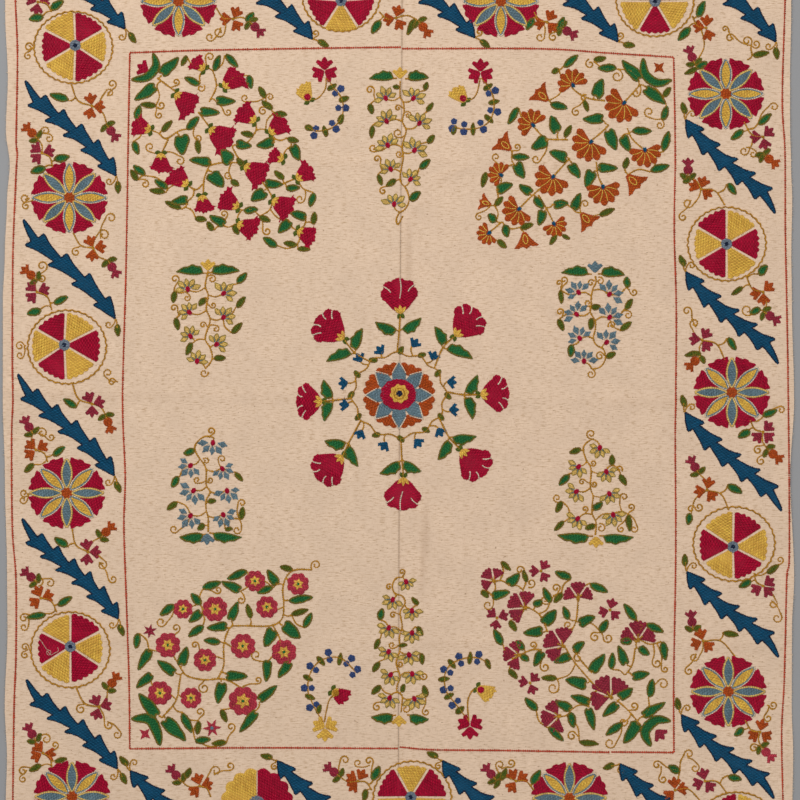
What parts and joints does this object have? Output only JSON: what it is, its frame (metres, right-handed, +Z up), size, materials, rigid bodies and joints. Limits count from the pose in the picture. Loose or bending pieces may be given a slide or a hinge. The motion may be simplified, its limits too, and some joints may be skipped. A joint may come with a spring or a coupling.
{
  "type": "suzani embroidered textile",
  "caption": "Flat hand-embroidered cotton hanging of two joined loom widths, worked with flowers and leaf shapes inside a rosette border.",
  "frame": {"origin": "on the surface that the cloth lies on, under the middle of its outline", "axes": "+X across the two loom widths, +Y along the seam towards the upper end, +Z up out of the embroidered face"},
  "size_m": [1.1074, 1.31, 0.0041],
  "materials": {
    "cotton_left": "hand-woven, matt",
    "cotton_right": "hand-woven, matt"
  },
  "bodies": {
    "root": {"panel_left": "cotton_left", "panel_right": "cotton_right"}
  },
  "joints": []
}
